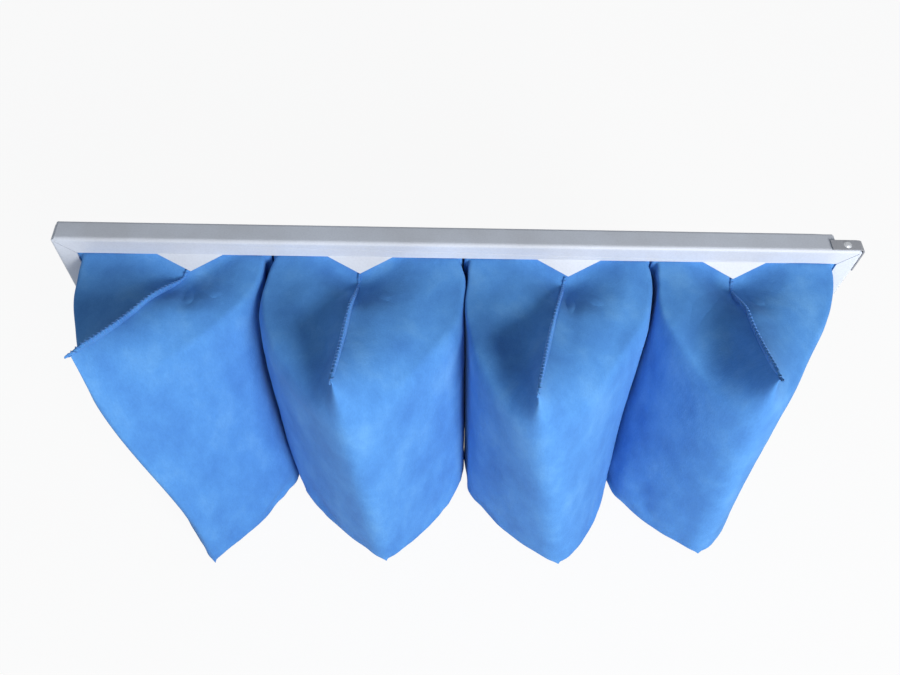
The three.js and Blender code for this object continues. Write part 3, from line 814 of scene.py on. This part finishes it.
def add_rings(faces, start, rows, count):
    """Adds the faces between rings of vertices, and the two ends, to a list of faces."""
    for row in range(rows - 1):
        first = start + row * count
        for step in range(count):
            after = (step + 1) % count
            faces.append((first + step, first + after, first + count + after, first + count + step))
    faces.append(tuple(range(start, start + count))[::-1])
    faces.append(tuple(range(start + (rows - 1) * count, start + rows * count)))


def strip_mesh(name, line, ups, heights):
    """A narrow strip of doubled fabric that stands on a line."""
    vertices = []
    faces = []
    for number, (point, up, height) in enumerate(zip(line, ups, heights)):
        across = unit(np.cross(direction_at(line, number), up))
        for aside, rise in WELT_SECTION:
            vertices.append(tuple(point + across * aside * WELT_HALF + up * rise * height))
    add_rings(faces, 0, len(line), len(WELT_SECTION))
    mesh = bpy.data.meshes.new(name)
    mesh.from_pydata(vertices, [], faces)
    mesh.update()
    return mesh


def resample(points, spacing):
    """Points at an even spacing along a polyline."""
    lengths = np.concatenate([[0], np.cumsum(np.linalg.norm(np.diff(points, axis=0), axis=1))])
    count = max(2, int(round(lengths[-1] / spacing)))
    places = np.linspace(0, lengths[-1], count + 1)
    return np.stack([np.interp(places, lengths, points[:, axis]) for axis in range(3)], axis=1)


def seam_line(grid, points):
    """The upper side seam from under the tongue to just past the head, with its outward directions."""
    normals = face_normals(points, grid["faces"])
    numbers = grid["upper"]
    line = points[numbers]
    keep = [OUTLET - point[1] > WELT_START for point in line]
    line = line[keep]
    ups = normals[numbers][keep]
    past = line[-1] + unit(line[-1] - line[-2]) * WELT_PAST
    line = np.vstack([line, past])
    ups = np.vstack([ups, ups[-1]])
    fine = resample(line, WELT_STEP)
    rough = np.linspace(0, 1, len(ups))
    places = np.linspace(0, 1, len(fine))
    ups = np.stack([np.interp(places, rough, ups[:, axis]) for axis in range(3)], axis=1)
    ups /= np.linalg.norm(ups, axis=1)[:, None]
    return fine, ups


def welt_height(point, remaining):
    """How high the seam stands at a point: low under the tongue and at its end."""
    rise = smooth_step(OUTLET - point[1], TONGUE_REACH, WELT_FULL) * smooth_step(remaining, 0, WELT_FALL)
    return WELT_LOW + (WELT_HIGH - WELT_LOW) * rise


def make_welt(index, line, ups, heights, material):
    """The sewn edge that stands along a pocket's upper side seam."""
    name = "pocket_welt_" + str(index + 1)
    mesh = strip_mesh(name, line, ups, heights)
    smooth_shade(mesh)
    mesh.materials.append(material)
    piece = scene_object(name, mesh)
    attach(piece, "root")
    return piece


def add_thread(vertices, faces, path):
    """Adds a round thread along a path to lists of vertices and faces."""
    start = len(vertices)
    for number, point in enumerate(path):
        along = direction_at(path, number)
        helper = np.array([0, 0, 1.0]) if abs(along[2]) < THREAD_STEEP else np.array([1.0, 0, 0])
        first = unit(np.cross(along, helper))
        second = np.cross(along, first)
        for turn in range(THREAD_SIDES):
            angle = 2 * math.pi * turn / THREAD_SIDES
            aside = math.cos(angle) * first + math.sin(angle) * second
            vertices.append(tuple(point + THREAD_RADIUS * aside))
    add_rings(faces, start, len(path), THREAD_SIDES)


def make_thread(index, line, ups, heights, material):
    """Overlock stitches over the seam's standing edge."""
    name = "pocket_thread_" + str(index + 1)
    vertices = []
    faces = []
    step = round(STITCH_PITCH / WELT_STEP)
    for number in range(STITCH_FIRST, len(line) - STITCH_LAST, step):
        along = unit(line[number + 1] - line[number])
        up = ups[number] * (heights[number] + THREAD_RADIUS)
        across = unit(np.cross(along, ups[number])) * (WELT_HALF + THREAD_RADIUS)
        path = [line[number] + across * aside + up * rise + along * share * STITCH_LEAN
                for aside, rise, share in STITCH_PATH]
        add_thread(vertices, faces, path)
    mesh = bpy.data.meshes.new(name)
    mesh.from_pydata(vertices, [], faces)
    smooth_shade(mesh)
    mesh.materials.append(material)
    piece = scene_object(name, mesh)
    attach(piece, "root")
    return piece


def make_pocket(index, grid, points, material):
    """One fabric pocket with its thickness, in place of its CAD node."""
    name = "pocket_cloth_" + str(index + 1)
    mesh = pocket_mesh(name + "_rough", grid, points)
    creases = mesh.attributes.new("crease_edge", "FLOAT", "EDGE")
    count = len(points)
    rows = grid["rows"]
    line = set(grid["upper"] + grid["lower"])
    for number, edge in enumerate(mesh.edges):
        first, second = edge.vertices
        outer = first < count and second < count
        if outer and first in line and second in line:
            creases.data[number].value = SEAM_CREASE
        elif outer and rows[first] <= 0 and rows[second] <= 0 and rows[first] == rows[second]:
            creases.data[number].value = HEM_CREASE
    mesh = subdivided(mesh, name, 1)
    pull_folds(mesh, index)
    smooth_shade(mesh)
    mesh.materials.append(material)
    piece = scene_object(name, mesh)
    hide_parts("pocket_" + str(index + 1))
    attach(piece, "root")
    return piece


def make_pockets(material, thread):
    """All pockets, draped together, with their seams."""
    grids = [pocket_grid(index) for index in range(len(POCKETS))]
    draped = drape(grids)
    for index, (grid, points) in enumerate(zip(grids, draped)):
        points = keep_clear(index, points, grid)
        piece = make_pocket(index, grid, points, material)
        line, ups = seam_line(grid, points)
        lengths = [(len(line) - 1 - number) * WELT_STEP for number in range(len(line))]
        heights = [welt_height(point, length) for point, length in zip(line, lengths)]
        welt = make_welt(index, line, ups, heights, material)
        stitches = make_thread(index, line, ups, heights, thread)


def from_middle(point):
    """A point of the header, from the header's middle."""
    return point.x, point.y, point.z - HEADER_HEIGHT / 2


def is_outer_bend(edge):
    """Whether an edge of the header lies along an outer bend or an outer corner."""
    outer = (HEADER_HIGH[0], INLET, HEADER_HEIGHT / 2)
    first, second = (from_middle(vertex.co) for vertex in edge.verts)
    on = [abs(abs(one) - limit) < NEAR and abs(one - other) < NEAR
          for one, other, limit in zip(first, second, outer)]
    return sum(on) == 2


def rounded_corner(point):
    """A point of the header, moved inwards where it stands out of the rounded outline."""
    core = (HEADER_HIGH[0] - BEND_RADIUS, INLET - BEND_RADIUS, HEADER_HEIGHT / 2 - BEND_RADIUS)
    offset = from_middle(point)
    past = [max(0.0, abs(part) - limit) for part, limit in zip(offset, core)]
    length = math.sqrt(sum(part * part for part in past))
    outside = abs(point.y) > INLET + NEAR
    if outside or length <= BEND_RADIUS or max(past) < BEND_RADIUS - SHEET / 2:
        return point
    moved = [math.copysign(min(abs(part), limit) + out * BEND_RADIUS / length, part)
             for part, limit, out in zip(offset, core, past)]
    return Vector((moved[0], moved[1], moved[2] + HEADER_HEIGHT / 2))


def make_header(material):
    """The header frame with rounded bends, in place of its CAD node."""
    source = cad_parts["header_frame"]
    mesh = source.data.copy()
    mesh.name = "header_shell"
    mesh.transform(source.matrix_world)
    shape = bmesh.new()
    shape.from_mesh(mesh)
    bmesh.ops.remove_doubles(shape, verts=shape.verts, dist=SAME_PLACE)
    bmesh.ops.dissolve_limit(shape, angle_limit=SAME_ANGLE, verts=shape.verts, edges=shape.edges)
    bends = [edge for edge in shape.edges if is_outer_bend(edge)]
    bmesh.ops.bevel(shape, geom=bends, offset=BEND_RADIUS, offset_type="OFFSET", segments=BEND_STEPS,
                    profile=BEND_PROFILE, affect="EDGES", clamp_overlap=False)
    for vertex in shape.verts:
        vertex.co = rounded_corner(vertex.co)
    shape.to_mesh(mesh)
    shape.free()
    mesh.materials.clear()
    mesh.materials.append(material)
    piece = scene_object("header_shell", mesh)
    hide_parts("header_frame")
    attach(piece, "root")


def make_camera():
    """The camera at the photograph's place: in front, high up and turned down."""
    pitch = math.radians(CAMERA_PITCH)
    yaw = math.radians(CAMERA_YAW)
    roll = math.radians(CAMERA_ROLL)
    forward = Vector((math.sin(yaw) * math.cos(pitch), math.cos(yaw) * math.cos(pitch), -math.sin(pitch)))
    right = Vector((math.cos(yaw), -math.sin(yaw), 0))
    down = forward.cross(right)
    turned_right = math.cos(roll) * right + math.sin(roll) * down
    turned_down = math.cos(roll) * down - math.sin(roll) * right
    data = bpy.data.cameras.new("camera")
    data.sensor_width = SENSOR_WIDTH
    data.lens = SENSOR_WIDTH * FOCAL_PIXELS / PHOTO_WIDTH
    data.clip_start = CLIP_START
    camera = bpy.data.objects.new("camera", data)
    bpy.context.scene.collection.objects.link(camera)
    camera.matrix_world = Matrix((
        (turned_right.x, -turned_down.x, -forward.x, CAMERA_PLACE[0]),
        (turned_right.y, -turned_down.y, -forward.y, CAMERA_PLACE[1]),
        (turned_right.z, -turned_down.z, -forward.z, CAMERA_PLACE[2]),
        (0, 0, 0, 1)))
    bpy.context.scene.camera = camera


def add_lamp(name, place, size, power, color):
    """A square soft lamp turned to the filter."""
    data = bpy.data.lights.new(name, "AREA")
    data.energy = power
    data.size = size
    data.color = color
    lamp = bpy.data.objects.new(name, data)
    bpy.context.scene.collection.objects.link(lamp)
    lamp.location = place
    way = Vector(LAMP_TARGET) - Vector(place)
    lamp.rotation_euler = way.to_track_quat("-Z", "Y").to_euler()


def make_lights():
    """The lamps, and a sky that lights the filter softly and looks white."""
    for lamp in LAMPS:
        add_lamp(*lamp)
    world = bpy.data.worlds.new("sky")
    bpy.context.scene.world = world
    world.use_nodes = True
    tree = world.node_tree
    back = tree.nodes["Background"]
    back.inputs["Color"].default_value = SKY_COLOR
    back.inputs["Strength"].default_value = SKY_STRENGTH
    white = add_node(tree, "ShaderNodeBackground", Color=WHITE, Strength=1.0)
    blend = tree.nodes.new("ShaderNodeMixShader")
    tree.links.new(seen_directly(tree), blend.inputs["Fac"])
    tree.links.new(back.outputs["Background"], blend.inputs[1])
    tree.links.new(white.outputs["Background"], blend.inputs[2])
    tree.links.new(blend.outputs["Shader"], tree.nodes["World Output"].inputs["Surface"])


def dress_node(name, material):
    """A CAD node's own object with a better material."""
    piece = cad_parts[name]
    if piece.material_slots:
        for slot in piece.material_slots:
            slot.material = material
    else:
        piece.data.materials.append(material)


def main():
    """The whole scene."""
    bpy.context.scene.view_settings.view_transform = "Standard"
    make_camera()
    make_floor()
    make_lights()
    nonwoven = nonwoven_material()
    header = steel_material("header_steel", low=(0.60, 0.62, 0.67), high=(0.71, 0.75, 0.83), rough=0.45,
                            metal=0.05, spangle=14.0, shine=0.2)
    inner = steel_material("inner_steel", low=(0.42, 0.44, 0.47), high=(0.55, 0.57, 0.60), rough=0.40,
                           metal=0.75)
    joint = steel_material("joint_steel", low=(0.26, 0.27, 0.30), high=(0.36, 0.37, 0.40), rough=0.45,
                           metal=0.45)
    make_pockets(nonwoven, thread_material())
    make_header(header)
    dress_node("joint_plate", joint)
    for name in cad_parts:
        if name.startswith(("mouth_frame", "divider", "plate_rivet")):
            dress_node(name, inner)


main()
